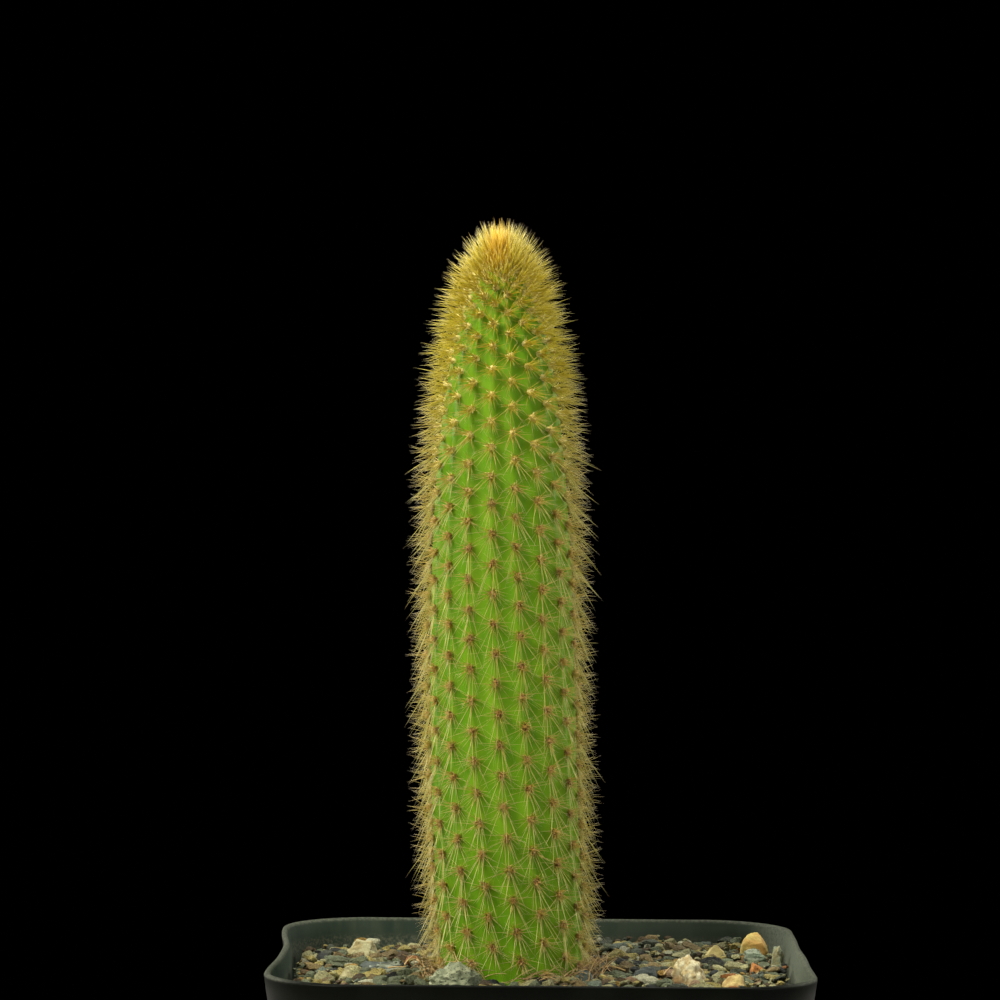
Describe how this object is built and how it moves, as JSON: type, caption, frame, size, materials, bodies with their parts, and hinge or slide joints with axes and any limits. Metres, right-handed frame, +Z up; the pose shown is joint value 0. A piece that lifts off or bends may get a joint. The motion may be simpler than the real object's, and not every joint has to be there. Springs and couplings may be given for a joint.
{
  "type": "potted rat tail cactus",
  "caption": "Upright ribbed cactus column with golden spines, rooted in potting mix under a gravel top dressing, in a square tapered plastic nursery pot.",
  "frame": {"origin": "on the surface that the pot stands on, under the middle of the pot", "axes": "+Z up; +X to the right and +Y away, as the picture sees the pot"},
  "size_m": [0.09, 0.09, 0.2064],
  "materials": {
    "black_plastic": "satin",
    "potting_mix": "matte",
    "gravel": "matte",
    "cactus_skin": "satin",
    "granite": "matte",
    "slate": "matte",
    "pale_stone": "matte",
    "tan_stone": "matte",
    "grey_stone": "matte",
    "rust_stone": "matte",
    "dark_stone": "matte"
  },
  "bodies": {
    "root": {"pot": "black_plastic", "potting_mix": "potting_mix", "gravel_bed": "gravel", "cactus": "cactus_skin", "stone_granite": "granite", "stone_slate": "slate", "stone_white": "pale_stone", "stone_cream": "pale_stone", "stone_knobbly": "pale_stone", "stone_tan": "tan_stone", "stone_flat": "tan_stone", "stone_ochre": "tan_stone", "stone_green": "grey_stone", "stone_upright": "grey_stone", "stone_grey": "grey_stone", "stone_rust": "rust_stone", "stone_dark": "dark_stone"}
  },
  "joints": []
}
